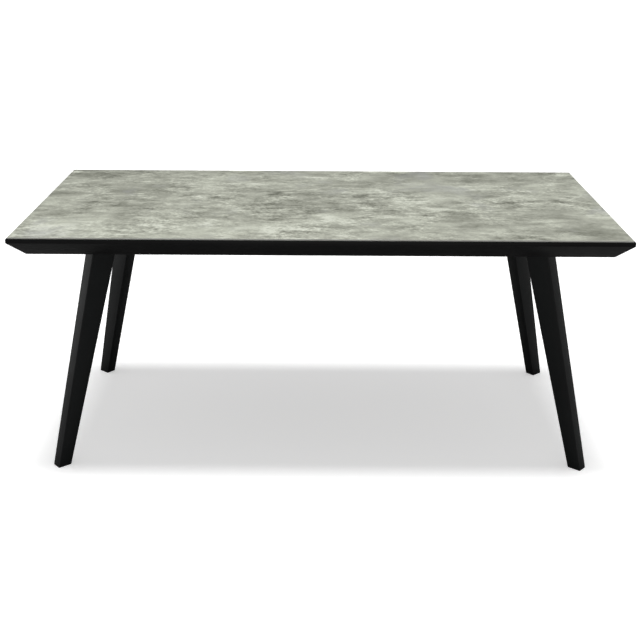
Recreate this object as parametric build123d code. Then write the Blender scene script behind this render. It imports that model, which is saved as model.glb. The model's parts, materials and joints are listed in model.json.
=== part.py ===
from build123d import *
import math
import os

# Extendable dining table: a bevel-edged top on four splayed legs, with a draw leaf under each end.
# Millimetres. The origin is on the floor under the middle of the top; X runs along the top,
# Y across it towards the back, and Z up.

# Top
length = 1800.0
width = 900.0
height = 755.0
slab_thickness = 5.0
slab_inset = 5.0
board_thickness = 12.0
arris = 0.6

# Rim moulding under the board: a 45 degree bevel, then a flat foot
bevel = 45.0
rim_foot = 15.0
rim_wall = 32.0
mitre_gap = 0.7

# Draw leaves
leaf_width = 832.0
leaf_slab_thickness = 4.0
leaf_board_thickness = 12.0
leaf_inner_x = 585.0
leaf_lip = 10.0
leaf_gap = 1.0

# Steel underframe
plate_thickness = 6.0
plate_side = 150.0
plate_corner = 12.0
beam_y = 275.0
beam_width = 50.0
beam_height = 20.0
beam_end_x = 835.0
tube_wall = 2.0
cap_plate = 3.0
cap_plug = 15.0
cap_play = 0.2
cross_rail_width = 40.0
batten_width = 60.0
batten_x = {"left": -520.0, "centre": 0.0, "right": 520.0}

# Legs: a folded blade whose wide side points at the middle of the table
leg_top = (658.0, 274.0)
leg_foot = (802.0, 377.0)
leg_top_section = (81.0, 44.0)
leg_foot_section = (42.5, 35.0)
leg_turn = 40.5
leg_wall = 2.0
leg_corner = 2.0
glide_thickness = 3.0
glide_plug = 14.0
glide_play = 0.3

# Telescopic rails, on the outer face of each beam
rail_inner_x = 500.0
rail_height = 18.0
rail_sheet = 1.2
rail_depth = 9.0
rail_step_y = 3.0
rail_step_z = 2.2
rail_z = 709.0
rail_gap = 0.8
rail_lap = 2.2
strip_reach = (556.0, 832.0)
strip_width = 20.0
strip_gap = 0.3

# Leaf arms, catches and glue blocks
arm_sheet = 2.0
arm_flange_y = 345.0
arm_clearance = 2.0
block_width = 480.0
block_depth = 25.0
block_height = 16.0
catch_width = 40.0
strike_thickness = 2.0
catch_gap = 0.3

# Fasteners: head radius, head height, shank radius
bolt = (7.0, 4.5, 4.0)
wood_screw = (4.4, 3.0, 2.2)
rail_screw = (3.4, 1.3, 1.9)
nut_radius = 5.5
hole_play = 0.1
pocket_play = 0.6
bolt_play = 0.5
pilot_tip = 0.5

# Levels and edges that follow from the above
board_top = height - slab_thickness
board_bottom = board_top - board_thickness
rim_bottom = board_bottom - bevel
rim_inner_y = width / 2 - bevel - rim_foot
rim_inner_x = length / 2 - bevel - rim_foot
rim_wall_y = width / 2 - rim_wall
beam_bottom = rim_bottom + plate_thickness
beam_top = beam_bottom + beam_height
beam_outer_y = beam_y + beam_width / 2
leaf_top = board_bottom - leaf_gap
leaf_seat = leaf_top - leaf_slab_thickness
leaf_bottom = leaf_seat - leaf_board_thickness
leaf_slab_x = length / 2 - leaf_lip
inner_web_y = beam_outer_y + rail_depth + rail_gap
arm_y = inner_web_y + rail_sheet
arm_top = leaf_bottom

ends = {"left": -1, "right": 1}
sides = {"front": -1, "back": 1}
corners = [(end, side) for end in ends for side in sides]
up = (0, 0, 1)


def block(low, high):
    """A box between two opposite corners, given in any order."""
    size = [abs(b - a) for a, b in zip(low, high)]
    middle = [(a + b) / 2 for a, b in zip(low, high)]
    return Pos(*middle) * Box(*size)


def rod(start, direction, reach, radius):
    """A cylinder that runs from a point along a direction."""
    base = Plane(origin=start, z_dir=direction)
    return base * Cylinder(radius, reach, align=(Align.CENTER, Align.CENTER, Align.MIN))


def screw(seat, direction, reach, kind):
    """A headed fastener: the head stands behind the seat and the shank runs along the direction."""
    head_radius, head_height, shank_radius = kind
    behind = [-part for part in direction]
    head = rod(seat, behind, head_height, head_radius)
    shank = rod(seat, direction, reach, shank_radius)
    return head + shank


def prism(outline, direction, reach):
    """A flat outline of 3-D points, extruded along a direction."""
    face = Face(Wire.make_polygon(outline, close=True))
    return extrude(face, amount=reach, dir=direction)


def group(solids):
    """Several separate solids that share one node."""
    return Compound(children=list(solids))


# Fastener places, shared by the holes and the fasteners

bolt_spread = (60, 13)
rim_screw_inset = 8
top_screw_y = (-350, -130, 130, 350)
bolt_places = [
    (ends[end] * leg_top[0] + along * bolt_spread[0], sides[side] * beam_y + across * bolt_spread[1])
    for end, side in corners
    for along in (-1, 1)
    for across in (-1, 1)
]
batten_places = [(x, sides[side] * beam_y) for x in batten_x.values() for side in sides]
rim_screw_y = rim_inner_y + rim_screw_inset
rim_places = [(x, sides[side] * rim_screw_y) for x in batten_x.values() for side in sides]
top_places = [(x, y) for x in batten_x.values() for y in top_screw_y]
rail_screw_x = (540, 667, 800)
arm_screw_x = (610, 700, 800)
arm_flange_screw_y = 330
block_screw_y = (-160, 0, 160)
block_screw_z = 712

bolt_reach = 16
nut_reach = 12
batten_screw_reach = 34
batten_pilot = 14.5
rim_pocket = 9
rim_screw_reach = 31
top_pocket = 3.2
top_screw_reach = 24
rail_screw_reach = 9
flange_screw_reach = 9
web_screw_reach = 4.2
block_screw_reach = 46


# Top

def top_slab():
    half_x = length / 2 - slab_inset
    half_y = width / 2 - slab_inset
    slab = block((-half_x, -half_y, board_top), (half_x, half_y, height))
    return chamfer(slab.edges().group_by(Axis.Z)[-1], arris)


def top_board():
    board = block((-length / 2, -width / 2, board_bottom), (length / 2, width / 2, board_top))
    board = chamfer(board.edges().group_by(Axis.Z)[-1], arris)
    for x, y in top_places:
        depth = top_screw_reach - (board_bottom - beam_top - top_pocket) + pilot_tip
        board -= rod((x, y, board_bottom), up, depth, wood_screw[2] + hole_play)
    return board


def side_rim(side):
    """A solid moulding along one long side, mitred at both ends, with a ledge for the battens."""
    s = sides[side]
    section = [
        (width / 2, board_bottom),
        (width / 2 - bevel, rim_bottom),
        (rim_inner_y, rim_bottom),
        (rim_inner_y, beam_top),
        (rim_wall_y, beam_top),
        (rim_wall_y, board_bottom),
    ]
    bar = prism([(-length / 2, s * y, z) for y, z in section], (1, 0, 0), length)
    plan = [
        (-rim_inner_x, s * rim_inner_y, rim_bottom),
        (rim_inner_x, s * rim_inner_y, rim_bottom),
        (length / 2, s * width / 2, rim_bottom),
        (-length / 2, s * width / 2, rim_bottom),
    ]
    rim = bar & prism(plan, up, bevel)
    for x, y in rim_places:
        if y * s > 0:
            rim -= rod((x, y, rim_bottom), up, rim_pocket, wood_screw[0] + pocket_play)
            rim -= rod((x, y, rim_bottom), up, bevel, wood_screw[2] + hole_play)
    return rim


# Steel underframe and wooden battens

def beam(side):
    """A box-section steel beam that carries the battens, the rails and the legs."""
    y = sides[side] * beam_y
    half = beam_width / 2
    tube = block((-beam_end_x, y - half, beam_bottom), (beam_end_x, y + half, beam_top))
    tube -= block(
        (-beam_end_x, y - half + tube_wall, beam_bottom + tube_wall),
        (beam_end_x, y + half - tube_wall, beam_top - tube_wall),
    )
    for x, hole_y in batten_places:
        if hole_y * y > 0:
            tube -= rod((x, hole_y, beam_bottom), up, beam_height, wood_screw[2] + 2 * hole_play)
    for x, hole_y in bolt_places:
        if hole_y * y > 0:
            tube -= rod((x, hole_y, beam_bottom), up, tube_wall, nut_radius + hole_play)
    wall_y = sides[side] * (beam_outer_y - tube_wall)
    for end in ends.values():
        for x in rail_screw_x:
            hole = rod((end * x, wall_y, rail_z), (0, sides[side], 0), tube_wall, rail_screw[2] + hole_play)
            tube -= hole
    return tube


def beam_end_caps():
    """A moulded cap in each end of both beams: a plate over the end and a plug inside the tube."""
    caps = []
    for end, side in corners:
        x = ends[end]
        y = sides[side] * beam_y
        half = beam_width / 2
        plate = block(
            (x * beam_end_x, y - half, beam_bottom),
            (x * (beam_end_x + cap_plate), y + half, beam_top),
        )
        inset = tube_wall + cap_play
        plug = block(
            (x * (beam_end_x - cap_plug), y - half + inset, beam_bottom + inset),
            (x * beam_end_x, y + half - inset, beam_top - inset),
        )
        caps.append(plate + plug)
    return group(caps)


def cross_rail(end):
    """A box-section steel tie between the beams, over the legs of one end."""
    x = ends[end] * leg_top[0]
    half = cross_rail_width / 2
    reach = beam_y - beam_width / 2
    tube = block((x - half, -reach, beam_bottom), (x + half, reach, beam_top))
    return tube - block(
        (x - half + tube_wall, -reach, beam_bottom + tube_wall),
        (x + half - tube_wall, reach, beam_top - tube_wall),
    )


def batten(place):
    """A wooden batten across the table that spaces the board above the leaf's path."""
    x = batten_x[place]
    half = batten_width / 2
    bar = block((x - half, -rim_wall_y, beam_top), (x + half, rim_wall_y, board_bottom))
    pilot = wood_screw[2] + hole_play
    for hole_x, y in batten_places + rim_places:
        if hole_x == x:
            bar -= rod((x, y, beam_top), up, batten_pilot, pilot)
    for hole_x, y in top_places:
        if hole_x == x:
            bar -= rod((x, y, beam_top), up, top_pocket, wood_screw[0] + 2 * hole_play)
            bar -= rod((x, y, beam_top), up, board_bottom - beam_top, pilot)
    return bar


def glide_strips():
    """Nylon strips on the beams that the leaves run on."""
    strips = []
    for end, side in corners:
        x = ends[end]
        y = sides[side] * beam_y
        near = (x * strip_reach[0], y - strip_width / 2, beam_top)
        far = (x * strip_reach[1], y + strip_width / 2, leaf_bottom - strip_gap)
        strips.append(block(near, far))
    return group(strips)


# Legs

def blade(end, side, bottom, shrink, corner):
    """The leg's tapered form from the rim down to a level, smaller all round by shrink."""
    x_sign = ends[end]
    y_sign = sides[side]
    cos = math.cos(math.radians(leg_turn))
    sin = math.sin(math.radians(leg_turn))
    sections = []
    for level in (bottom, rim_bottom):
        share = level / rim_bottom
        x = leg_foot[0] + (leg_top[0] - leg_foot[0]) * share
        y = leg_foot[1] + (leg_top[1] - leg_foot[1]) * share
        wide = leg_foot_section[0] + (leg_top_section[0] - leg_foot_section[0]) * share
        narrow = leg_foot_section[1] + (leg_top_section[1] - leg_foot_section[1]) * share
        plane = Plane(origin=(x_sign * x, y_sign * y, level), x_dir=(x_sign * cos, y_sign * sin, 0), z_dir=up)
        outline = RectangleRounded(wide - 2 * shrink, narrow - 2 * shrink, corner)
        sections.append((plane * outline).face())
    return loft(sections, ruled=True)


def leg(end, side):
    shell = blade(end, side, glide_thickness, 0, leg_corner)
    return shell - blade(end, side, glide_thickness, leg_wall, leg_corner / 2)


def leg_plate(end, side):
    """The plate welded on the leg's top and bolted under the beam."""
    x = ends[end] * leg_top[0]
    y = sides[side] * leg_top[1]
    half = plate_side / 2
    plate = block((x - half, y - half, rim_bottom), (x + half, y + half, beam_bottom))
    plate = chamfer(plate.edges().filter_by(Axis.Z), plate_corner)
    for hole_x, hole_y in bolt_places:
        if hole_x * x > 0 and hole_y * y > 0:
            plate -= rod((hole_x, hole_y, rim_bottom), up, plate_thickness, bolt[2] + bolt_play)
    return plate


def foot_glide(end, side):
    """A plastic foot: a pad of the leg's own outline, with a plug that fills the leg's end."""
    whole = blade(end, side, 0, 0, leg_corner)
    reach = leg_foot[0] + leg_top_section[0]
    cut = block((-reach, -reach, glide_thickness), (reach, reach, rim_bottom + 1))
    pad = whole - cut
    core = blade(end, side, glide_thickness, leg_wall + glide_play, leg_corner / 2)
    above = block((-reach, -reach, glide_plug), (reach, reach, rim_bottom + 1))
    return pad + (core - above)


def plate_bolts():
    return group(screw((x, y, rim_bottom), up, bolt_reach, bolt) for x, y in bolt_places)


def rivet_nuts():
    nuts = []
    for x, y in bolt_places:
        nut = rod((x, y, beam_bottom), up, nut_reach, nut_radius)
        nuts.append(nut - rod((x, y, beam_bottom), up, nut_reach, bolt[2] + hole_play))
    return group(nuts)


def batten_screws():
    return group(screw((x, y, beam_bottom), up, batten_screw_reach, wood_screw) for x, y in batten_places)


def rim_screws():
    seat = rim_bottom + rim_pocket
    return group(screw((x, y, seat), up, rim_screw_reach, wood_screw) for x, y in rim_places)


def top_screws():
    seat = beam_top + top_pocket
    return group(screw((x, y, seat), up, top_screw_reach, wood_screw) for x, y in top_places)


# Telescopic rails

def channel(end, side, back, opening, step):
    """A sheet channel: its web stands at back, and its flanges run to opening."""
    x_near = ends[end] * rail_inner_x
    x_far = ends[end] * beam_end_x
    s = sides[side]
    half = rail_height / 2 - step * rail_step_z
    inward = 1 if opening > back else -1
    solid = block((x_near, s * back, rail_z - half), (x_far, s * opening, rail_z + half))
    hollow = block(
        (x_near, s * (back + inward * rail_sheet), rail_z - half + rail_sheet),
        (x_far, s * opening, rail_z + half - rail_sheet),
    )
    return solid - hollow


def outer_rail(end, side):
    rail = channel(end, side, beam_outer_y, beam_outer_y + rail_depth, 0)
    s = sides[side]
    for x in rail_screw_x:
        start = (ends[end] * x, s * beam_outer_y, rail_z)
        rail -= rod(start, (0, s, 0), rail_sheet, rail_screw[2] + hole_play)
    return rail


def middle_rail(end, side):
    return channel(end, side, beam_outer_y + rail_step_y, beam_outer_y + rail_depth, 1)


def inner_rail(end, side):
    """The innermost channel faces the other way, so that its web meets the leaf's arm."""
    rail = channel(end, side, arm_y, beam_outer_y + rail_step_y + rail_lap, 2)
    s = sides[side]
    for x in arm_screw_x:
        start = (ends[end] * x, s * inner_web_y, rail_z)
        rail -= rod(start, (0, s, 0), rail_sheet, rail_screw[2] + hole_play)
    return rail


def rail_screws():
    screws = []
    for end, side in corners:
        s = sides[side]
        for x in rail_screw_x:
            seat = (ends[end] * x, s * (beam_outer_y + rail_sheet), rail_z)
            screws.append(screw(seat, (0, -s, 0), rail_screw_reach, rail_screw))
    return group(screws)


# Draw leaves

def leaf_board(end):
    x = ends[end]
    half = leaf_width / 2
    board = block((x * leaf_inner_x, -half, leaf_bottom), (x * rim_inner_x, half, leaf_seat))
    for side in sides.values():
        for hole_x in arm_screw_x:
            start = (x * hole_x, side * arm_flange_screw_y, leaf_bottom)
            board -= rod(start, up, flange_screw_reach, rail_screw[2] + hole_play)
    return board


def leaf_slab(end):
    x = ends[end]
    half = leaf_width / 2
    slab = block((x * leaf_inner_x, -half, leaf_seat), (x * leaf_slab_x, half, leaf_top))
    return chamfer(slab.edges().group_by(Axis.Z)[-1], arris)


def end_rim(end):
    """The moulding across one end: it travels with the leaf and is its front."""
    x = ends[end]
    section = [
        (length / 2 - leaf_gap, leaf_top),
        (length / 2 - bevel, rim_bottom),
        (rim_inner_x, rim_bottom),
        (rim_inner_x, leaf_top),
    ]
    bar = prism([(x * u, -width / 2, z) for u, z in section], (0, 1, 0), width)
    near = rim_inner_y - mitre_gap
    far = width / 2 - mitre_gap
    plan = [
        (x * rim_inner_x, -near, rim_bottom),
        (x * rim_inner_x, near, rim_bottom),
        (x * length / 2, far, rim_bottom),
        (x * length / 2, -far, rim_bottom),
    ]
    rim = bar & prism(plan, up, bevel)
    half = leaf_width / 2
    rim -= block((x * rim_inner_x, -half, leaf_seat), (x * leaf_slab_x, half, leaf_top))
    for y in block_screw_y:
        start = (x * rim_inner_x, y, block_screw_z)
        rim -= rod(start, (x, 0, 0), block_screw_reach - block_depth + pilot_tip, wood_screw[2] + hole_play)
    return rim


def leaf_arm(end, side):
    """A folded steel angle from the innermost rail up to the underside of the leaf."""
    x_near = ends[end] * leaf_inner_x
    x_far = ends[end] * (rim_inner_x - arm_clearance)
    s = sides[side]
    wall = block((x_near, s * arm_y, beam_bottom + arm_clearance), (x_far, s * (arm_y + arm_sheet), arm_top))
    flange = block((x_near, s * arm_y, arm_top - arm_sheet), (x_far, s * arm_flange_y, arm_top))
    arm = wall + flange
    radius = rail_screw[2] + hole_play
    for x in arm_screw_x:
        arm -= rod((ends[end] * x, s * arm_y, rail_z), (0, s, 0), arm_sheet, radius)
        arm -= rod((ends[end] * x, s * arm_flange_screw_y, arm_top - arm_sheet), up, arm_sheet, radius)
    return arm


def leaf_glue_block(end):
    """A wooden block in the corner between the leaf's board and its front."""
    x = ends[end]
    near = rim_inner_x - block_depth
    half = block_width / 2
    piece = block((x * near, -half, leaf_bottom - block_height), (x * rim_inner_x, half, leaf_bottom))
    for y in block_screw_y:
        start = (x * near, y, block_screw_z)
        piece -= rod(start, (x, 0, 0), block_depth, wood_screw[2] + hole_play)
    return piece


def leaf_screws(end):
    x = ends[end]
    screws = []
    for s in sides.values():
        for place in arm_screw_x:
            flange_seat = (x * place, s * arm_flange_screw_y, arm_top - arm_sheet)
            screws.append(screw(flange_seat, up, flange_screw_reach, rail_screw))
            web_seat = (x * place, s * (arm_y + arm_sheet), rail_z)
            screws.append(screw(web_seat, (0, -s, 0), web_screw_reach, rail_screw))
    for y in block_screw_y:
        seat = (x * (rim_inner_x - block_depth), y, block_screw_z)
        screws.append(screw(seat, (x, 0, 0), block_screw_reach, wood_screw))
    return group(screws)


def strike_plate(end):
    x = ends[end]
    half = catch_width / 2
    low = (x * (leaf_inner_x - strike_thickness), -half, leaf_bottom)
    return block(low, (x * leaf_inner_x, half, leaf_seat))


def catch_magnets():
    """A magnetic catch on each outer batten, which holds the closed leaf."""
    near = batten_x["right"] + batten_width / 2
    far = leaf_inner_x - strike_thickness - catch_gap
    half = catch_width / 2
    return group(
        block((x * near, -half, leaf_bottom), (x * far, half, leaf_seat)) for x in ends.values()
    )


nodes = {
    "top_slab": top_slab(),
    "top_board": top_board(),
    "beam_end_caps": beam_end_caps(),
    "glide_strips": glide_strips(),
    "plate_bolts": plate_bolts(),
    "rivet_nuts": rivet_nuts(),
    "batten_screws": batten_screws(),
    "rim_screws": rim_screws(),
    "top_screws": top_screws(),
    "rail_screws": rail_screws(),
    "catch_magnets": catch_magnets(),
}
for place in batten_x:
    nodes[f"batten_{place}"] = batten(place)
for side in sides:
    nodes[f"side_rim_{side}"] = side_rim(side)
    nodes[f"beam_{side}"] = beam(side)
for end in ends:
    nodes[f"cross_rail_{end}"] = cross_rail(end)
    nodes[f"leaf_board_{end}"] = leaf_board(end)
    nodes[f"leaf_slab_{end}"] = leaf_slab(end)
    nodes[f"end_rim_{end}"] = end_rim(end)
    nodes[f"leaf_glue_block_{end}"] = leaf_glue_block(end)
    nodes[f"leaf_screws_{end}"] = leaf_screws(end)
    nodes[f"strike_plate_{end}"] = strike_plate(end)
for end, side in corners:
    corner = f"{side}_{end}"
    nodes[f"leg_{corner}"] = leg(end, side)
    nodes[f"leg_plate_{corner}"] = leg_plate(end, side)
    nodes[f"foot_glide_{corner}"] = foot_glide(end, side)
    nodes[f"outer_rail_{corner}"] = outer_rail(end, side)
    nodes[f"middle_rail_{corner}"] = middle_rail(end, side)
    nodes[f"inner_rail_{corner}"] = inner_rail(end, side)
    nodes[f"leaf_arm_{corner}"] = leaf_arm(end, side)

os.makedirs("parts", exist_ok=True)
for name, shape in nodes.items():
    export_step(shape, f"parts/{name}.step")
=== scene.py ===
import json
import math

import bmesh
import bpy
from mathutils import Matrix, Vector

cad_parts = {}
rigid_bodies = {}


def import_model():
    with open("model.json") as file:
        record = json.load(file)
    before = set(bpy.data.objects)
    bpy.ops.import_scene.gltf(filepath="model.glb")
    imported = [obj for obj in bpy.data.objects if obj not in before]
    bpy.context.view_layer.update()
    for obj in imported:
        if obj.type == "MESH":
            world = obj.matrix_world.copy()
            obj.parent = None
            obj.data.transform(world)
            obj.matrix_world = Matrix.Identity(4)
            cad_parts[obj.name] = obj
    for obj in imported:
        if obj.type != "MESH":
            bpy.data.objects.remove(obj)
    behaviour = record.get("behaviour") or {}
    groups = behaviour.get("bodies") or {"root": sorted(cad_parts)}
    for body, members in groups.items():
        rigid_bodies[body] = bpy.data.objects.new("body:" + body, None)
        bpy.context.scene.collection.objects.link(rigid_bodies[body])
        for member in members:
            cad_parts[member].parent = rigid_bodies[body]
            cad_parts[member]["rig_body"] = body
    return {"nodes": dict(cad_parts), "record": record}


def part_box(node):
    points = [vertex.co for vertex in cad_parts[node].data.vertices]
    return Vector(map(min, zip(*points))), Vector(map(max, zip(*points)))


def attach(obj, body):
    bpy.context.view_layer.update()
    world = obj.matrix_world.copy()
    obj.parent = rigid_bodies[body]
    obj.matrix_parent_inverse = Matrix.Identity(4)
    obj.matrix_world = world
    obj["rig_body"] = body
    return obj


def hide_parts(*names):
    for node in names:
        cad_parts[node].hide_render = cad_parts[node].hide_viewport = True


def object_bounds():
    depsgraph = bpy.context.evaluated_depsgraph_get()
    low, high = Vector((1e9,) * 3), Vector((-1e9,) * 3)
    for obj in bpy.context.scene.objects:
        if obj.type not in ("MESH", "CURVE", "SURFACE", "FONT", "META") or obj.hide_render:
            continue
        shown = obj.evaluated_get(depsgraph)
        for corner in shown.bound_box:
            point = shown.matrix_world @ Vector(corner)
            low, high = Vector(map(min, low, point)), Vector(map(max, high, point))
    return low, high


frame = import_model()
cadLow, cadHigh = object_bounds()
nodes = frame["nodes"]
bodyOf = {name: node["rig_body"] for name, node in nodes.items()}
slotOf = {part["node"]: part["material_slot"] for part in frame["record"]["subparts"]}
print("frame loaded:", len(nodes), "nodes")

# distances in metres: points nearer than weld are one point, faces thinner than sliver are dropped
weld = 1e-5
sliver = 1e-6


# helpers for shader and geometry nodes

def feed(tree, node, inputs):
    # an input is a value, or the socket that feeds it
    for name, value in inputs.items():
        if isinstance(value, bpy.types.NodeSocket):
            tree.links.new(value, node.inputs[name])
        else:
            node.inputs[name].default_value = value


def put(tree, kind, inputs=None, **settings):
    # settings are the node's own properties
    node = tree.nodes.new(kind)
    for name, value in settings.items():
        setattr(node, name, value)
    feed(tree, node, inputs or {})
    return node


def newGroup(name, kind, inputs, outputs):
    tree = bpy.data.node_groups.new(name, kind)
    for label, socketKind, value in inputs:
        socket = tree.interface.new_socket(label, in_out="INPUT", socket_type="NodeSocket" + socketKind)
        if value is not None:
            socket.default_value = value
    for label, socketKind in outputs:
        tree.interface.new_socket(label, in_out="OUTPUT", socket_type="NodeSocket" + socketKind)
    return tree, tree.nodes.new("NodeGroupInput").outputs, tree.nodes.new("NodeGroupOutput").inputs


def math2(tree, operation, first, second):
    return put(tree, "ShaderNodeMath", {0: first, 1: second}, operation=operation).outputs[0]


def vector2(tree, operation, first, second):
    return put(tree, "ShaderNodeVectorMath", {0: first, 1: second}, operation=operation).outputs[0]


def remap(tree, value, fromLow, fromHigh, toLow=0.0, toHigh=1.0):
    return put(tree, "ShaderNodeMapRange", {
        "Value": value, "From Min": fromLow, "From Max": fromHigh, "To Min": toLow,
        "To Max": toHigh}).outputs[0]


def mixColour(tree, factor, first, second):
    # sockets 0, 6 and 7 of a colour mix are the factor and the two colours
    return put(tree, "ShaderNodeMix", {0: factor, 6: first, 7: second}, data_type="RGBA").outputs[2]


def ramp(tree, value, stops):
    node = put(tree, "ShaderNodeValToRGB", {"Fac": value})
    elements = node.color_ramp.elements
    while len(elements) < len(stops):
        elements.new(0.5)
    for element, (place, colour) in zip(elements, stops):
        element.position = place
        element.color = colour
    return node.outputs["Color"]


def paint(red, green, blue):
    # a colour from 0 to 255 as seen on screen, made linear
    def linear(channel):
        share = channel / 255
        return share / 12.92 if share <= 0.04045 else ((share + 0.055) / 1.055) ** 2.4
    return linear(red), linear(green), linear(blue), 1.0


# effects that several finishes share

wear = {  # how far the rounded normal leans, as a cosine, and the patches where the rubbing shows
    "leanLow": 0.995, "leanHigh": 0.9, "patchScale": 38.0, "patchLow": 0.42, "patchHigh": 0.62,
}


def makeBlotches():
    # cloudy noise about zero, stretched along the grain of the piece
    tree, given, out = newGroup("blotches", "ShaderNodeTree", [
        ("Vector", "Vector", None), ("Stretch", "Vector", (1, 1, 1)), ("Scale", "Float", 5.0),
        ("Detail", "Float", 4.0), ("Warp", "Float", 0.4), ("Seed", "Float", 0.0)], [("Value", "Float")])
    stretched = vector2(tree, "MULTIPLY", given["Vector"], given["Stretch"])
    noise = put(tree, "ShaderNodeTexNoise", {
        "Vector": stretched, "W": given["Seed"], "Scale": given["Scale"],
        "Detail": given["Detail"], "Distortion": given["Warp"], "Roughness": 0.58},
        noise_dimensions="4D")
    tree.links.new(math2(tree, "SUBTRACT", noise.outputs[0], 0.5), out["Value"])
    return tree


def makeSkin():
    # the fine relief of a finish, and how its gloss wanders
    tree, given, out = newGroup("skin", "ShaderNodeTree", [
        ("Vector", "Vector", None), ("Stretch", "Vector", (1, 1, 1)), ("Grain Scale", "Float", 900.0),
        ("Grain Depth", "Float", 0.0001), ("Smudge Scale", "Float", 9.0), ("Roughness", "Float", 0.5),
        ("Spread", "Float", 0.1)], [("Normal", "Vector"), ("Roughness", "Float")])
    stretched = vector2(tree, "MULTIPLY", given["Vector"], given["Stretch"])
    grain = put(tree, "ShaderNodeTexNoise", {
        "Vector": stretched, "Scale": given["Grain Scale"], "Detail": 2.0})
    bump = put(tree, "ShaderNodeBump", {"Height": grain.outputs[0], "Distance": given["Grain Depth"]})
    smudge = put(tree, "ShaderNodeTexNoise", {
        "Vector": given["Vector"], "Scale": given["Smudge Scale"], "Detail": 5.0})
    drift = math2(tree, "MULTIPLY", math2(tree, "SUBTRACT", smudge.outputs[0], 0.5), given["Spread"])
    tree.links.new(bump.outputs[0], out["Normal"])
    tree.links.new(math2(tree, "ADD", given["Roughness"], drift), out["Roughness"])
    return tree


def makeEdgeWear():
    # a mask that is 1 where an arris is rubbed: there the rounded normal leaves the true one
    tree, given, out = newGroup("edgeWear", "ShaderNodeTree", [
        ("Vector", "Vector", None), ("Width", "Float", 0.001), ("Amount", "Float", 0.5)],
        [("Mask", "Float")])
    rounded = put(tree, "ShaderNodeBevel", {"Radius": given["Width"]}, samples=4)
    true = put(tree, "ShaderNodeNewGeometry")
    dot = put(tree, "ShaderNodeVectorMath", {0: rounded.outputs[0], 1: true.outputs["Normal"]},
              operation="DOT_PRODUCT")
    arris = remap(tree, dot.outputs["Value"], wear["leanLow"], wear["leanHigh"])
    patches = put(tree, "ShaderNodeTexNoise", {
        "Vector": given["Vector"], "Scale": wear["patchScale"], "Detail": 4.0})
    shown = remap(tree, patches.outputs[0], wear["patchLow"], wear["patchHigh"])
    rubbed = math2(tree, "MULTIPLY", arris, shown)
    tree.links.new(math2(tree, "MULTIPLY", rubbed, given["Amount"]), out["Mask"])
    return tree


blotches = makeBlotches()
skin = makeSkin()
edgeWear = makeEdgeWear()


def useGroup(tree, group, inputs):
    node = put(tree, "ShaderNodeGroup", node_tree=group)
    feed(tree, node, inputs)
    return node.outputs


def newFinish(name, metallic=0.0, specular=0.5):
    material = bpy.data.materials.new(name)
    material.use_nodes = True
    tree = material.node_tree
    shader = tree.nodes["Principled BSDF"]
    shader.inputs["Metallic"].default_value = metallic
    shader.inputs["Specular IOR Level"].default_value = specular
    place = put(tree, "ShaderNodeTexCoord")
    return material, tree, shader.inputs, place.outputs


# finishes

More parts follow.
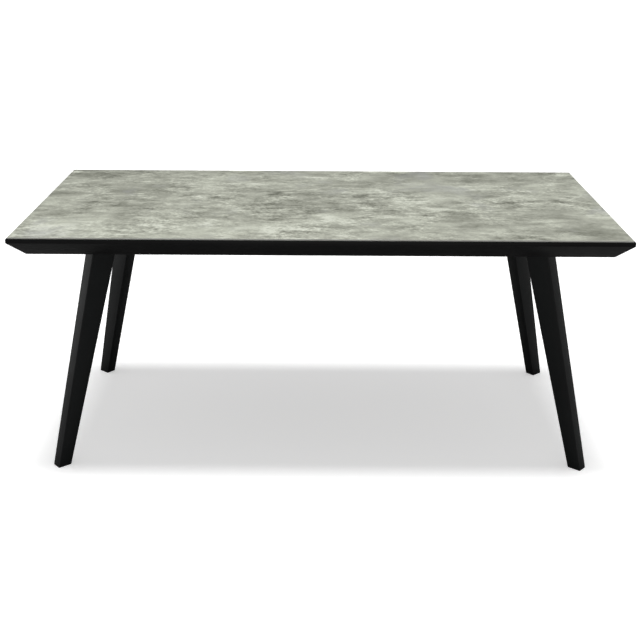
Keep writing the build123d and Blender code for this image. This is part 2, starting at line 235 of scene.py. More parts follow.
concrete = {
    "dark": paint(112, 114, 102), "shadowed": paint(146, 148, 135), "body": paint(171, 173, 160),
    "pale": paint(194, 197, 182), "chalk": paint(222, 225, 211), "cool": paint(163, 164, 164),
    # the colour of the slab's sides: partly the paler cut body, partly a painted highlight
    "paleCutAndHighlight": paint(218, 219, 211), "pit": paint(88, 89, 82),
    "stops": [(0.12, "dark"), (0.33, "shadowed"), (0.50, "body"), (0.67, "pale"), (0.88, "chalk")],
    "middleTone": 0.52, "roughness": 0.5, "grainDepth": 0.0002, "reliefDepth": 0.0004,
    "gather": {"Scale": 6.0, "Detail": 3.0, "Warp": 0.8, "Seed": 21.0},
    "gatherRange": (-0.12, 0.16, 0.3, 1.35),  # from and to in the noise, then in the flecks' strength
    "coolness": {"Scale": 4.2, "Detail": 4.0, "Seed": 12.4},
    "coolRange": (0.06, 0.2, 0.0, 0.6),
    "pitScale": 130.0, "pitEdge": (0.26, 0.1), "pitStrength": 0.6,
    "pitPatches": {"Scale": 17.0, "Seed": 2.2}, "pitPatchRange": (0.03, 0.13),
    "paleCutAndHighlightFacing": (0.75, 0.3), "paleCutAndHighlightStrength": 0.9,  # the paler sides, found by how little they face up: partly the paler cut body, partly a painted highlight along the lit edge
    "wander": (22.0, 0.16),  # scale and reach of the noise that frays the marks
    "clouds": [  # scale, stretch, detail, warp, seed, weight
        (2.6, (1.0, 1.2, 1.0), 3.0, 0.7, 3.7, 0.38),
        (7.0, (0.8, 1.3, 1.0), 3.0, 0.8, 1.3, 0.85),
        (10.0, (0.65, 2.1, 1.0), 4.0, 0.5, 8.1, 0.55)],
    "flecks": [  # the same, for marks that gather in some places and leave others plain
        (20.0, (0.85, 1.5, 1.0), 4.0, 0.7, 5.9, 1.2),
        (52.0, (0.6, 1.4, 1.0), 3.0, 0.6, 7.7, 0.9),
        (110.0, (0.8, 1.1, 1.0), 2.0, 0.4, 9.3, 0.92)],
    "marks": [  # middle, half size and strength of each darker or paler patch: the first makes the whole top paler towards its front edge, the rest are where the mix cured darker or paler
        ((0.0, -0.42), (1.1, 0.24), 0.075), ((0.093, 0.277), (0.085, 0.03), -0.14),
        ((-0.153, 0.1), (0.024, 0.06), -0.18), ((0.14, 0.03), (0.022, 0.075), -0.2),
        ((0.05, -0.03), (0.03, 0.03), -0.15), ((-0.63, -0.03), (0.03, 0.1), -0.15),
        ((-0.59, -0.2), (0.07, 0.07), -0.09), ((0.6, -0.04), (0.04, 0.1), -0.14),
        ((0.64, -0.22), (0.06, 0.08), -0.09), ((0.45, 0.39), (0.09, 0.03), -0.14),
        ((0.25, 0.31), (0.1, 0.09), -0.08), ((0.32, -0.14), (0.16, 0.06), -0.07),
        ((-0.17, -0.22), (0.09, 0.07), -0.08), ((-0.33, -0.06), (0.06, 0.04), -0.08),
        ((0.79, -0.37), (0.11, 0.08), -0.1), ((-0.77, 0.38), (0.12, 0.03), -0.12),
        ((-0.37, 0.2), (0.1, 0.08), 0.1), ((-0.49, -0.27), (0.1, 0.05), 0.09),
        ((-0.02, -0.21), (0.09, 0.05), 0.1), ((0.29, -0.2), (0.13, 0.012), 0.14),
        ((-0.8, -0.34), (0.09, 0.05), 0.1), ((0.3, 0.05), (0.12, 0.1), 0.06)],
}


def makeTonePatch():
    # one soft-edged patch on the top face, ragged by a shared warp
    tree, given, out = newGroup("tonePatch", "ShaderNodeTree", [
        ("Vector", "Vector", None), ("Place", "Vector", (0, 0, 0)), ("Size", "Vector", (1, 1, 1)),
        ("Strength", "Float", 0.1)], [("Value", "Float")])
    offset = vector2(tree, "SUBTRACT", given["Vector"], given["Place"])
    flat = vector2(tree, "MULTIPLY", offset, (1, 1, 0))
    share = vector2(tree, "DIVIDE", flat, given["Size"])
    far = put(tree, "ShaderNodeVectorMath", {0: share}, operation="LENGTH").outputs["Value"]
    fade = put(tree, "ShaderNodeMapRange", {"Value": far, "From Min": 1.25, "From Max": 0.35},
               interpolation_type="SMOOTHSTEP")
    tree.links.new(math2(tree, "MULTIPLY", fade.outputs[0], given["Strength"]), out["Value"])
    return tree


def ragged(tree, at, scale, reach):
    # the point moved about by noise, so that edges laid out from it wander
    noise = put(tree, "ShaderNodeTexNoise", {
        "Vector": at, "Scale": scale, "Detail": 5.0, "Roughness": 0.65})
    centred = vector2(tree, "SUBTRACT", noise.outputs["Color"], (0.5, 0.5, 0.5))
    push = put(tree, "ShaderNodeVectorMath", {0: centred, "Scale": reach}, operation="SCALE")
    return vector2(tree, "ADD", at, push.outputs[0])


def makeConcrete():
    material, tree, shader, point = newFinish("concreteSlab", specular=0.3)
    at = point["Object"]
    gather = useGroup(tree, blotches, {"Vector": at, **concrete["gather"]})
    busy = remap(tree, gather[0], *concrete["gatherRange"])
    sums = []
    for layers in (concrete["clouds"], concrete["flecks"]):
        total = 0.0
        for scale, stretch, detail, warp, seed, weight in layers:
            cloud = useGroup(tree, blotches, {
                "Vector": at, "Scale": scale, "Stretch": stretch, "Detail": detail, "Warp": warp,
                "Seed": seed})
            total = math2(tree, "ADD", math2(tree, "MULTIPLY", cloud[0], weight), total)
        sums.append(total)
    tone = math2(tree, "ADD", sums[0], math2(tree, "MULTIPLY", sums[1], busy))
    tone = math2(tree, "ADD", tone, concrete["middleTone"])
    tonePatch = makeTonePatch()
    moved = ragged(tree, at, *concrete["wander"])
    for middle, size, strength in concrete["marks"]:
        mark = useGroup(tree, tonePatch, {
            "Vector": moved, "Place": (*middle, 0), "Size": (*size, 1), "Strength": strength})
        tone = math2(tree, "ADD", mark[0], tone)
    colour = ramp(tree, tone, [(place, concrete[shade]) for place, shade in concrete["stops"]])
    coolness = useGroup(tree, blotches, {"Vector": at, **concrete["coolness"]})
    cooled = remap(tree, coolness[0], *concrete["coolRange"])
    colour = mixColour(tree, cooled, colour, concrete["cool"])
    holes = put(tree, "ShaderNodeTexVoronoi", {"Vector": at, "Scale": concrete["pitScale"]})
    few = useGroup(tree, blotches, {"Vector": at, **concrete["pitPatches"]})
    pits = math2(tree, "MULTIPLY", remap(tree, holes.outputs["Distance"], *concrete["pitEdge"]),
                 remap(tree, few[0], *concrete["pitPatchRange"]))
    pitted = math2(tree, "MULTIPLY", pits, concrete["pitStrength"])
    colour = mixColour(tree, pitted, colour, concrete["pit"])
    # the slab's sides are made paler: partly the paler cut body, partly a painted highlight for the light
    # line along the lit front edge
    facing = put(tree, "ShaderNodeSeparateXYZ", {0: point["Normal"]}).outputs["Z"]
    side = remap(tree, facing, *concrete["paleCutAndHighlightFacing"])
    cut = math2(tree, "MULTIPLY", side, concrete["paleCutAndHighlightStrength"])
    colour = mixColour(tree, cut, colour, concrete["paleCutAndHighlight"])
    finish = useGroup(tree, skin, {
        "Vector": at, "Grain Scale": 420.0, "Grain Depth": concrete["grainDepth"], "Smudge Scale": 6.0,
        "Roughness": concrete["roughness"], "Spread": 0.25})
    relief = put(tree, "ShaderNodeBump", {
        "Height": math2(tree, "SUBTRACT", tone, pits), "Distance": concrete["reliefDepth"],
        "Normal": finish["Normal"]})
    tree.links.new(colour, shader["Base Color"])
    tree.links.new(finish["Roughness"], shader["Roughness"])
    tree.links.new(relief.outputs[0], shader["Normal"])
    return material


def makeCoated(name, look):
    # paint, powder coat and moulded plastic: a colour that wanders a little, rubbed at its edges
    material, tree, shader, place = newFinish(name, specular=look["specular"])
    at = place["Object"]
    cloud = useGroup(tree, blotches, {"Vector": at, "Scale": look["cloudScale"], "Seed": look["seed"]})
    colour = mixColour(tree, remap(tree, cloud[0], -0.2, 0.2), look["deep"], look["light"])
    worn = useGroup(tree, edgeWear, {"Vector": at, "Width": look["wearWidth"], "Amount": look["wear"]})
    colour = mixColour(tree, worn[0], colour, look["rubbed"])
    finish = useGroup(tree, skin, {
        "Vector": at, "Grain Scale": look["grainScale"], "Grain Depth": look["grainDepth"],
        "Roughness": look["roughness"], "Spread": look["spread"]})
    tree.links.new(colour, shader["Base Color"])
    tree.links.new(finish["Roughness"], shader["Roughness"])
    tree.links.new(finish["Normal"], shader["Normal"])
    return material


coatedLooks = {
    "blackLacquer": {
        "deep": paint(17, 17, 17), "light": paint(23, 23, 23), "rubbed": paint(58, 58, 58),
        "cloudScale": 3.0, "seed": 1.0, "wearWidth": 0.0012, "wear": 0.35,
        "grainScale": 260.0, "grainDepth": 0.00006, "roughness": 0.46, "spread": 0.14, "specular": 0.11},
    "blackPowderCoat": {
        "deep": paint(15, 17, 17), "light": paint(22, 24, 24), "rubbed": paint(66, 66, 67),
        "cloudScale": 6.0, "seed": 2.0, "wearWidth": 0.001, "wear": 0.3,
        "grainScale": 1500.0, "grainDepth": 0.00012, "roughness": 0.4, "spread": 0.12, "specular": 0.2},
    "blackPlastic": {
        "deep": paint(22, 22, 23), "light": paint(30, 30, 31), "rubbed": paint(70, 70, 70),
        "cloudScale": 20.0, "seed": 3.0, "wearWidth": 0.0008, "wear": 0.4,
        "grainScale": 2400.0, "grainDepth": 0.00008, "roughness": 0.55, "spread": 0.1, "specular": 0.35},
    "ferrite": {
        "deep": paint(40, 40, 42), "light": paint(58, 57, 58), "rubbed": paint(96, 95, 94),
        "cloudScale": 60.0, "seed": 4.0, "wearWidth": 0.001, "wear": 0.6,
        "grainScale": 1300.0, "grainDepth": 0.0001, "roughness": 0.45, "spread": 0.2, "specular": 0.5},
}

birch = {
    "early": paint(214, 186, 146), "late": paint(176, 138, 94), "ringScale": 26.0, "roughness": 0.62,
}


def makeBirch():
    # the grain runs across the table, along the battens and the glue blocks
    material, tree, shader, place = newFinish("birchBatten", specular=0.3)
    at = place["Object"]
    grain = useGroup(tree, blotches, {
        "Vector": at, "Stretch": (1.0, 0.07, 1.0), "Scale": birch["ringScale"], "Detail": 6.0,
        "Warp": 0.9})
    pores = useGroup(tree, blotches, {
        "Vector": at, "Stretch": (1.0, 0.03, 1.0), "Scale": 420.0, "Detail": 2.0, "Seed": 5.0})
    rings = math2(tree, "ADD", grain[0], math2(tree, "MULTIPLY", pores[0], 0.35))
    colour = mixColour(tree, remap(tree, rings, -0.16, 0.18), birch["late"], birch["early"])
    finish = useGroup(tree, skin, {
        "Vector": at, "Stretch": (1.0, 0.05, 1.0), "Grain Scale": 600.0, "Grain Depth": 0.00015,
        "Roughness": birch["roughness"], "Spread": 0.1})
    tree.links.new(colour, shader["Base Color"])
    tree.links.new(finish["Roughness"], shader["Roughness"])
    tree.links.new(finish["Normal"], shader["Normal"])
    return material


def makeZinc(name, deep, light, roughness, stretch):
    # zinc plate: bright steel with a faint cloudy bloom and drawing lines
    material, tree, shader, place = newFinish(name, metallic=1.0)
    at = place["Object"]
    bloom = useGroup(tree, blotches, {"Vector": at, "Scale": 45.0, "Detail": 4.0, "Seed": 6.0})
    colour = mixColour(tree, remap(tree, bloom[0], -0.2, 0.2), deep, light)
    finish = useGroup(tree, skin, {
        "Vector": at, "Stretch": stretch, "Grain Scale": 700.0, "Grain Depth": 0.00004,
        "Smudge Scale": 30.0, "Roughness": roughness, "Spread": 0.2})
    tree.links.new(colour, shader["Base Color"])
    tree.links.new(finish["Roughness"], shader["Roughness"])
    tree.links.new(finish["Normal"], shader["Normal"])
    return material


finishes = {
    "concrete_slab": makeConcrete(),
    "black_rim": makeCoated("blackLacquer", coatedLooks["blackLacquer"]),
    "black_steel": makeCoated("blackPowderCoat", coatedLooks["blackPowderCoat"]),
    "black_plastic": makeCoated("blackPlastic", coatedLooks["blackPlastic"]),
    "magnet_block": makeCoated("ferrite", coatedLooks["ferrite"]),
    "batten_wood": makeBirch(),
    "rail_steel": makeZinc(
        "railZinc", paint(176, 179, 184), paint(206, 208, 210), 0.34, (0.04, 1.0, 1.0)),
    "fastener_steel": makeZinc(
        "screwZinc", paint(168, 170, 174), paint(204, 204, 202), 0.3, (1.0, 1.0, 1.0)),
}
finishes["leaf_black_board"] = finishes["black_rim"]
print("finishes made:", len(finishes))


# pieces

def addPiece(name, mesh, node):
    # puts a finished mesh on its node's body, in the node's place
    slot = slotOf[node]
    piece = bpy.data.objects.new(name, mesh)
    bpy.context.scene.collection.objects.link(piece)
    if not mesh.materials:
        mesh.materials.append(finishes[slot])
    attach(piece, bodyOf[node])
    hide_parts(node)
    return piece


# angles in degrees: below flat, faces are merged; above sharp, an edge is rounded if it is at least
# shortest times as long as the rounding is wide; above creased, shading breaks
softening = {"flat": 0.5, "sharp": 30, "creased": 35, "shortest": 4, "segments": 3}


def smoothFaces(mesh):
    mesh.shade_smooth()
    mesh.set_sharp_from_angle(angle=math.radians(softening["creased"]))


def softened(node, name, width):
    # the node's own shape, with every long sharp edge rounded
    shape = bmesh.new()
    shape.from_mesh(nodes[node].data)
    bmesh.ops.remove_doubles(shape, verts=shape.verts, dist=weld)
    bmesh.ops.dissolve_limit(shape, angle_limit=math.radians(softening["flat"]), verts=shape.verts,
                             edges=shape.edges)
    sharp = [e for e in shape.edges if len(e.link_faces) == 2
             and e.calc_face_angle() > math.radians(softening["sharp"])
             and e.calc_length() > softening["shortest"] * width]
    bmesh.ops.bevel(shape, geom=sharp, offset=width, segments=softening["segments"], profile=0.5,
                    affect="EDGES", clamp_overlap=True)
    bmesh.ops.dissolve_degenerate(shape, dist=sliver, edges=shape.edges)
    mesh = bpy.data.meshes.new(name)
    shape.to_mesh(mesh)
    shape.free()
    smoothFaces(mesh)
    return addPiece(name, mesh, node)


def bakeTree(tree, carrier, values, name):
    # runs a geometry tree on a carrier mesh and gives the result as a plain mesh
    holder = bpy.data.objects.new(name + "Holder", carrier)
    bpy.context.scene.collection.objects.link(holder)
    modifier = holder.modifiers.new(name, "NODES")
    modifier.node_group = tree
    for item in tree.interface.items_tree:
        if item.in_out == "INPUT" and item.name in values:
            modifier[item.identifier] = values[item.name]
    bpy.context.view_layer.update()
    evaluated = holder.evaluated_get(bpy.context.evaluated_depsgraph_get())
    mesh = bpy.data.meshes.new_from_object(evaluated)
    mesh.name = name
    bpy.data.objects.remove(holder)
    smoothFaces(mesh)
    return mesh


# legs: a tapered blade with rounded corners and a weld bead under its plate

legMake = {  # the turn, in degrees, is of the blade's wide side from the table's long side
    "turn": 40.5, "cornerRadius": 0.002, "cornerCount": 4, "beadRadius": 0.0022, "beadStep": 0.0026,
    "beadSquash": 0.55,
}


def sectionOf(node, level):
    # middle and size of a leg's outline at a level, along and across its wide side
    cloud = [v.co for v in nodes[node].data.vertices if abs(v.co.z - level) < weld]
    middle = sum(cloud, Vector()) / len(cloud)
    low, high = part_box(node)
    turn = math.radians(legMake["turn"])
    along = Vector((math.copysign(math.cos(turn), low.x), math.copysign(math.sin(turn), low.y), 0))
    across = Vector((-along.y, along.x, 0))
    spans = []
    for axis in (along, across):
        reach = [(v - middle).dot(axis) for v in cloud]
        spans.append(max(reach) - min(reach))
        middle += axis * (max(reach) + min(reach)) / 2
    return middle, Vector((spans[0], spans[1], 0)), math.atan2(along.y, along.x)


def makeLegTree():
    tree, given, out = newGroup("taperedLeg", "GeometryNodeTree", [
        ("Geometry", "Geometry", None), ("Foot", "Vector", None), ("Top", "Vector", None),
        ("Foot Size", "Vector", None), ("Top Size", "Vector", None), ("Turn", "Float", 0.0),
        ("Corner Radius", "Float", 0.002), ("Corner Count", "Int", 4), ("Bead Radius", "Float", 0.002),
        ("Bead Step", "Float", 0.0026), ("Paint", "Material", None)], [("Geometry", "Geometry")])
    topSize = put(tree, "ShaderNodeSeparateXYZ", {0: given["Top Size"]}).outputs
    outline = put(tree, "GeometryNodeCurvePrimitiveQuadrilateral",
                  {"Width": topSize["X"], "Height": topSize["Y"]})
    rounded = put(tree, "GeometryNodeFilletCurve", {
        "Curve": outline.outputs[0], "Radius": given["Corner Radius"], "Count": given["Corner Count"]},
        mode="POLY")
    line = put(tree, "GeometryNodeMeshLine", {"Count": 2, "Offset": (0, 0, 1)})
    spine = put(tree, "GeometryNodeMeshToCurve", {"Mesh": line.outputs[0]})
    swept = put(tree, "GeometryNodeCurveToMesh", {
        "Curve": spine.outputs[0], "Profile Curve": rounded.outputs[0], "Fill Caps": True})
    # the sweep stands on the unit line, so a point's height is its share of the way up
    position = put(tree, "GeometryNodeInputPosition").outputs[0]
    here = put(tree, "ShaderNodeSeparateXYZ", {0: position}).outputs
    ratio = vector2(tree, "DIVIDE", given["Foot Size"], given["Top Size"])
    # sockets 0, 4 and 5 of a vector mix are the factor and the two vectors
    taper = put(tree, "ShaderNodeMix", {0: here["Z"], 4: ratio, 5: (1, 1, 1)}, data_type="VECTOR")
    flat = put(tree, "ShaderNodeCombineXYZ", {"X": here["X"], "Y": here["Y"]})
    shrunk = vector2(tree, "MULTIPLY", flat.outputs[0], taper.outputs[1])
    turned = put(tree, "ShaderNodeVectorRotate", {"Vector": shrunk, "Angle": given["Turn"]},
                 rotation_type="Z_AXIS")
    centre = put(tree, "ShaderNodeMix", {0: here["Z"], 4: given["Foot"], 5: given["Top"]},
                 data_type="VECTOR")
    place = vector2(tree, "ADD", turned.outputs[0], centre.outputs[1])
    blade = put(tree, "GeometryNodeSetPosition", {"Geometry": swept.outputs[0], "Position": place})
    path = put(tree, "GeometryNodeResampleCurve", {
        "Curve": rounded.outputs[0], "Length": given["Bead Step"]}, mode="LENGTH")
    squash = legMake["beadSquash"]
    drop = put(tree, "ShaderNodeCombineXYZ",
               {"Z": math2(tree, "MULTIPLY", given["Bead Radius"], -squash)})
    seat = vector2(tree, "ADD", given["Top"], drop.outputs[0])
    spun = put(tree, "ShaderNodeCombineXYZ", {"Z": given["Turn"]})
    track = put(tree, "GeometryNodeTransform", {
        "Geometry": path.outputs[0], "Translation": seat, "Rotation": spun.outputs[0]})
    drip = put(tree, "GeometryNodeMeshIcoSphere", {"Radius": given["Bead Radius"], "Subdivisions": 2})
    bead = put(tree, "GeometryNodeInstanceOnPoints", {
        "Points": track.outputs[0], "Instance": drip.outputs[0], "Scale": (1.0, 1.0, squash)})
    both = put(tree, "GeometryNodeJoinGeometry")
    tree.links.new(bead.outputs[0], both.inputs[0])
    tree.links.new(blade.outputs[0], both.inputs[0])
    solid = put(tree, "GeometryNodeRealizeInstances", {"Geometry": both.outputs[0]})
    painted = put(tree, "GeometryNodeSetMaterial", {
        "Geometry": solid.outputs[0], "Material": given["Paint"]})
    tree.links.new(painted.outputs[0], out[0])
    return tree


legTree = makeLegTree()
for node in sorted(n for n in nodes if n.startswith("leg_") and "plate" not in n):
    low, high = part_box(node)
    foot, footSize, turn = sectionOf(node, low.z)
    top, topSize, turn = sectionOf(node, high.z)
    mesh = bakeTree(legTree, bpy.data.meshes.new("legSeed"), {
        "Foot": foot, "Top": top, "Foot Size": footSize, "Top Size": topSize, "Turn": turn,
        "Corner Radius": legMake["cornerRadius"], "Corner Count": legMake["cornerCount"],
        "Bead Radius": legMake["beadRadius"], "Bead Step": legMake["beadStep"],
        "Paint": finishes["black_steel"]}, node + "_blade")
    addPiece(node + "_blade", mesh, node)
print("legs made")


# fasteners: a turned head with its drive recess, put wherever the frame has one

headMake = {  # sides, steps over the dome, then the drive recesses as shares of its radius or height
    "sides": 20, "domeSteps": 6, "hexRadius": 0.42, "hexFloor": 0.42, "crossLength": 1.15,
    "crossWidth": 0.22, "crossFloor": 0.4, "toolTop": 1.5,
}


def turnedHead(name, profile, recess):
    # spins (radius, height) points round Z, then sinks the recess into the head
    shape = bmesh.new()
    rows = [shape.verts.new((radius, 0, height)) for radius, height in profile]
    edges = [shape.edges.new(pair) for pair in zip(rows, rows[1:])]
    bmesh.ops.spin(shape, geom=rows + edges, cent=(0, 0, 0), axis=(0, 0, 1), angle=2 * math.pi,
                   steps=headMake["sides"])
    bmesh.ops.remove_doubles(shape, verts=shape.verts, dist=sliver)
    bmesh.ops.recalc_face_normals(shape, faces=shape.faces)
    mesh = bpy.data.meshes.new(name)
    shape.to_mesh(mesh)
    shape.free()
    head = bpy.data.objects.new(name, mesh)
    bpy.context.scene.collection.objects.link(head)
    for number, cutter in enumerate(recess):
        tool = bpy.data.objects.new(f"{name}Recess{number}", cutter)
        bpy.context.scene.collection.objects.link(tool)
        cut = head.modifiers.new("recess", "BOOLEAN")
        cut.object = tool
        cut.operation = "DIFFERENCE"
        cut.solver = "EXACT"
    bpy.context.view_layer.update()
    finished = bpy.data.meshes.new_from_object(head.evaluated_get(bpy.context.evaluated_depsgraph_get()))
    for tool in [m.object for m in head.modifiers]:
        bpy.data.objects.remove(tool)
    head.modifiers.clear()
    shape = bmesh.new()
    shape.from_mesh(finished)
    bmesh.ops.dissolve_degenerate(shape, dist=sliver, edges=shape.edges)
    shape.to_mesh(finished)
    shape.free()
    head.data = finished
    head.hide_render = True
    head.hide_viewport = True
    return head


def hexTool(radius, bottom, top):
    # a six-sided prism that cuts a hexagon socket
    shape = bmesh.new()
    bmesh.ops.create_cone(shape, cap_ends=True, segments=6, radius1=radius, radius2=radius,
                          depth=top - bottom, matrix=Matrix.Translation((0, 0, (top + bottom) / 2)))
    mesh = bpy.data.meshes.new("tool")
    shape.to_mesh(mesh)
    shape.free()
    return mesh


def crossTools(length, width, bottom, top):
    # two bars at right angles that cut a cross recess
    tools = []
    for turn in (0, math.pi / 2):
        shape = bmesh.new()
        size = Matrix.Diagonal((length, width, top - bottom, 1))
        lifted = Matrix.Translation((0, 0, (top + bottom) / 2))
        bmesh.ops.create_cube(shape, size=1, matrix=lifted @ size)
        bmesh.ops.rotate(shape, verts=shape.verts, matrix=Matrix.Rotation(turn, 3, "Z"))
        mesh = bpy.data.meshes.new("tool")
        shape.to_mesh(mesh)
        shape.free()
        tools.append(mesh)
    return tools


def domeProfile(radius, height, rim):
    # from the middle of the seat out to the rim, then over the dome to the crown
    points = [(0.0, 0.0), (radius, 0.0), (radius, rim)]
    for step in range(1, headMake["domeSteps"]):
        swing = math.pi / 2 * step / headMake["domeSteps"]
        points.append((radius * math.cos(swing), rim + (height - rim) * math.sin(swing)))
    return points + [(0.0, height)]


fastenerKinds = {
    "bolt": {"radius": 0.007, "height": 0.0045, "shank": 0.004, "rim": 0.0012},
    "woodScrew": {"radius": 0.0044, "height": 0.003, "shank": 0.0022, "rim": 0.0006},
    "railScrew": {"radius": 0.0034, "height": 0.0013, "shank": 0.0019, "rim": 0.0003},
}


def makeHeads():
    heads = {}
    for kind, size in fastenerKinds.items():
        radius, height = size["radius"], size["height"]
        top = height * headMake["toolTop"]
        if kind == "bolt":
            recess = [hexTool(radius * headMake["hexRadius"], height * headMake["hexFloor"], top)]
        else:
            recess = crossTools(radius * headMake["crossLength"], radius * headMake["crossWidth"],
                                height * headMake["crossFloor"], top)
        heads[kind] = turnedHead(kind + "Head", domeProfile(radius, height, size["rim"]), recess)
    return heads


def makeFastenerTree():
    # every point carries the way its head faces and the reach of its shank
    tree, given, out = newGroup("fittedFasteners", "GeometryNodeTree", [
        ("Geometry", "Geometry", None), ("Head", "Object", None), ("Shank Radius", "Float", 0.002),
        ("Metal", "Material", None)], [("Geometry", "Geometry")])
    aim = put(tree, "GeometryNodeInputNamedAttribute", {"Name": "aim"}, data_type="FLOAT_VECTOR")
    reach = put(tree, "GeometryNodeInputNamedAttribute", {"Name": "reach"}, data_type="FLOAT")
    turn = put(tree, "FunctionNodeAlignRotationToVector", {"Vector": aim.outputs[0]}, axis="Z")
    head = put(tree, "GeometryNodeObjectInfo", {"Object": given["Head"]})
    heads = put(tree, "GeometryNodeInstanceOnPoints", {
        "Points": given["Geometry"], "Instance": head.outputs["Geometry"], "Rotation": turn.outputs[0]})
    rod = put(tree, "GeometryNodeMeshCylinder", {
        "Vertices": 16, "Radius": given["Shank Radius"], "Depth": 1.0})
    hung = put(tree, "GeometryNodeTransform", {
        "Geometry": rod.outputs["Mesh"], "Translation": (0, 0, -0.5)})
    longways = put(tree, "ShaderNodeCombineXYZ", {"X": 1.0, "Y": 1.0, "Z": reach.outputs[0]})
    shanks = put(tree, "GeometryNodeInstanceOnPoints", {
        "Points": given["Geometry"], "Instance": hung.outputs[0], "Rotation": turn.outputs[0],
        "Scale": longways.outputs[0]})
    both = put(tree, "GeometryNodeJoinGeometry")
    tree.links.new(heads.outputs[0], both.inputs[0])
    tree.links.new(shanks.outputs[0], both.inputs[0])
    solid = put(tree, "GeometryNodeRealizeInstances", {"Geometry": both.outputs[0]})
    plated = put(tree, "GeometryNodeSetMaterial", {
        "Geometry": solid.outputs[0], "Material": given["Metal"]})
    tree.links.new(plated.outputs[0], out[0])
    return tree


def looseShapes(node):
    # the separate solids of a node, each as its list of points
    shape = bmesh.new()
    shape.from_mesh(nodes[node].data)
    bmesh.ops.remove_doubles(shape, verts=shape.verts, dist=weld)
    left, found = set(shape.verts), []
    while left:
        stack, solid = [left.pop()], []
        while stack:
            vert = stack.pop()
            solid.append(vert.co.copy())
            for edge in vert.link_edges:
                other = edge.other_vert(vert)
                if other in left:
                    left.remove(other)
                    stack.append(other)
        found.append(solid)
    shape.free()
    return found


shankStep = 0.001  # the least radius of a shank, and the least that its head is wider by


def fastenerPlaces(node):
    # for each fastener: its kind, the middle of its seat, the way its head faces and its reach
    places = []
    for points in looseShapes(node):
        low = Vector([min(p[i] for p in points) for i in range(3)])
        high = Vector([max(p[i] for p in points) for i in range(3)])
        middle = (low + high) / 2
        for axis in range(3):
            others = [i for i in range(3) if i != axis]
            spread = {}
            for end in (low[axis], high[axis]):
                rim = [math.hypot(*(p[i] - middle[i] for i in others)) for p in points
                       if abs(p[axis] - end) < weld]
                spread[end] = max(rim)
            # along its own axis a fastener is a wide head at one end and a narrow shank at the other
            narrow, wide = sorted((spread[low[axis]], spread[high[axis]]))
            if wide - narrow > shankStep and narrow > shankStep:
                break
        outer = max(spread, key=spread.get)
        inner = low[axis] + high[axis] - outer
        kind = min(fastenerKinds, key=lambda k: abs(fastenerKinds[k]["radius"] - spread[outer]))
        aim = Vector((0, 0, 0))
        aim[axis] = math.copysign(1, outer - inner)
        seat = middle.copy()
        seat[axis] = outer - aim[axis] * fastenerKinds[kind]["height"]
        places.append((kind, seat, aim, abs(seat[axis] - inner)))
    return places


heads = makeHeads()
fastenerTree = makeFastenerTree()
for node in [n for n in nodes if n.endswith(("_screws", "_bolts")) or n.startswith("leaf_screws_")]:
    places = fastenerPlaces(node)
    for kind in sorted({place[0] for place in places}):
        chosen = [place for place in places if place[0] == kind]
        seats = bpy.data.meshes.new("seats")
        seats.from_pydata([place[1] for place in chosen], [], [])
        aims = seats.attributes.new("aim", "FLOAT_VECTOR", "POINT")
        aims.data.foreach_set("vector", [part for place in chosen for part in place[2]])
        reaches = seats.attributes.new("reach", "FLOAT", "POINT")
        reaches.data.foreach_set("value", [place[3] for place in chosen])
        mesh = bakeTree(fastenerTree, seats, {
            "Head": heads[kind], "Shank Radius": fastenerKinds[kind]["shank"],
            "Metal": finishes["fastener_steel"]}, f"{node}_{kind}")
        addPiece(f"{node}_{kind}", mesh, node)
for head in heads.values():
    bpy.data.objects.remove(head)
print("fasteners made")


# boards, mouldings, beams and the rest: the frame's own shapes with rounded edges

edgeWidths = {
    "top_slab": 0.0007, "top_board": 0.0012, "side_rim": 0.0004, "end_rim": 0.0004,
    "leaf_slab": 0.0006, "leaf_board": 0.0008, "leaf_glue_block": 0.0012, "batten": 0.0012,
    "beam_front": 0.0008, "beam_back": 0.0008, "beam_end_caps": 0.0006, "cross_rail": 0.0008,
    "leg_plate": 0.0008, "foot_glide": 0.0005, "catch_magnets": 0.0006, "strike_plate": 0.0003,
}
for start, width in edgeWidths.items():
    for node in [n for n in nodes if n.startswith(start) and not nodes[n].hide_render]:
        softened(node, node + "_soft", width)
for node, shape in nodes.items():
    if not shape.hide_render:
        shape.data.materials.clear()
        shape.data.materials.append(finishes[slotOf[node]])
print("boards, mouldings and steelwork made")


# floor, light and camera

studio = {
    "floorSize": 60.0, "floorWhite": (0.9, 0.9, 0.9, 1.0), "floorGlow": 0.46,
    "floorBounce": (0.36, 0.36, 0.36, 1.0), "zenith": 0.42, "horizon": 0.12,
    "suns": {"strength": 1.06, "spread": 13.0, "tilts": ((0.3, 4.5), (0.3, -4.5))},
    "aimShare": 0.6,  # the lamps look at this share of the table's height
    "lamps": [  # place, size, watts
        ((-3.2, 0.35, 0.45), 1.2, 5), ((3.2, 0.35, 0.45), 1.2, 1.2), ((0.0, -4.5, 0.9), 2.4, 36)],
}


def makeFloor():
    shape = bmesh.new()
    bmesh.ops.create_grid(shape, x_segments=1, y_segments=1, size=studio["floorSize"] / 2)
    mesh = bpy.data.meshes.new("floor")
    shape.to_mesh(mesh)
    shape.free()
    floor = bpy.data.objects.new("floor", mesh)
    bpy.context.scene.collection.objects.link(floor)
    material = bpy.data.materials.new("studioFloor")
    material.use_nodes = True
    tree = material.node_tree
    shader = tree.nodes["Principled BSDF"]
    path = put(tree, "ShaderNodeLightPath")
    seen = path.outputs["Is Camera Ray"]
    colour = mixColour(tree, seen, studio["floorBounce"], studio["floorWhite"])
    tree.links.new(colour, shader.inputs["Base Color"])
    glow = math2(tree, "MULTIPLY", seen, studio["floorGlow"])
    tree.links.new(glow, shader.inputs["Emission Strength"])
    shader.inputs["Emission Color"].default_value = (1, 1, 1, 1)
    shader.inputs["Roughness"].default_value = 0.9
    shader.inputs["Specular IOR Level"].default_value = 0.0
    mesh.materials.append(material)


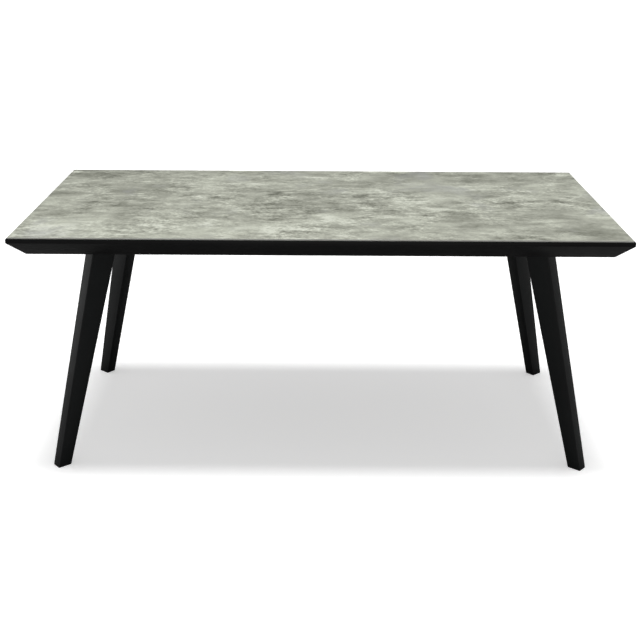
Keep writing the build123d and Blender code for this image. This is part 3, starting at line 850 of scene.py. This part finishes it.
def makeSky():
    world = bpy.data.worlds.new("studio")
    bpy.context.scene.world = world
    world.use_nodes = True
    tree = world.node_tree
    tree.nodes.clear()
    ray = put(tree, "ShaderNodeTexCoord").outputs["Generated"]
    height = put(tree, "ShaderNodeSeparateXYZ", {0: ray}).outputs["Z"]
    strength = remap(tree, height, 0.0, 1.0, studio["horizon"], studio["zenith"])
    dome = put(tree, "ShaderNodeBackground", {"Color": (1, 1, 1, 1), "Strength": strength})
    backdrop = put(tree, "ShaderNodeBackground", {"Color": (1, 1, 1, 1), "Strength": 1.0})
    seen = put(tree, "ShaderNodeLightPath").outputs["Is Camera Ray"]
    both = put(tree, "ShaderNodeMixShader", {0: seen, 1: dome.outputs[0], 2: backdrop.outputs[0]})
    put(tree, "ShaderNodeOutputWorld", {"Surface": both.outputs[0]})


def makeLamps():
    for number, (place, size, watts) in enumerate(studio["lamps"]):
        lamp = bpy.data.lights.new(f"softbox{number}", "AREA")
        lamp.shape = "SQUARE"
        lamp.size = size
        lamp.energy = watts
        holder = bpy.data.objects.new(f"softbox{number}", lamp)
        holder.location = place
        aim = Vector((0, 0, cadHigh.z * studio["aimShare"])) - Vector(place)
        holder.rotation_euler = aim.to_track_quat("-Z", "Y").to_euler()
        bpy.context.scene.collection.objects.link(holder)
    suns = studio["suns"]
    for number, tilt in enumerate(suns["tilts"]):
        sun = bpy.data.lights.new(f"overhead{number}", "SUN")
        sun.energy = suns["strength"]
        sun.angle = math.radians(suns["spread"])
        holder = bpy.data.objects.new(f"overhead{number}", sun)
        holder.rotation_euler = [math.radians(turn) for turn in (*tilt, 0)]
        bpy.context.scene.collection.objects.link(holder)


view = {
    "place": (0.0075, -3.4818, 1.6274), "pitch": 18.1, "yaw": -0.1, "roll": 0.3, "lens": 62.27,
    "shiftX": -0.00164, "shiftY": -0.064,
}


def makeCamera():
    pitch, yaw, roll = (math.radians(view[turn]) for turn in ("pitch", "yaw", "roll"))
    ahead = Vector((math.sin(yaw) * math.cos(pitch), math.cos(yaw) * math.cos(pitch), -math.sin(pitch)))
    right = Vector((math.cos(yaw), -math.sin(yaw), 0))
    above = right.cross(ahead)
    tiltedRight = right * math.cos(roll) + above * math.sin(roll)
    tiltedUp = above * math.cos(roll) - right * math.sin(roll)
    camera = bpy.data.objects.new("camera", bpy.data.cameras.new("camera"))
    camera.data.lens = view["lens"]
    camera.data.sensor_width = 36.0
    camera.data.shift_x = view["shiftX"]
    camera.data.shift_y = view["shiftY"]
    camera.matrix_world = Matrix((tiltedRight, tiltedUp, -ahead)).transposed().to_4x4()
    camera.location = view["place"]
    bpy.context.scene.collection.objects.link(camera)
    bpy.context.scene.camera = camera


makeFloor()
makeSky()
makeLamps()
makeCamera()
bpy.context.scene.view_settings.view_transform = "Standard"
print("studio made")
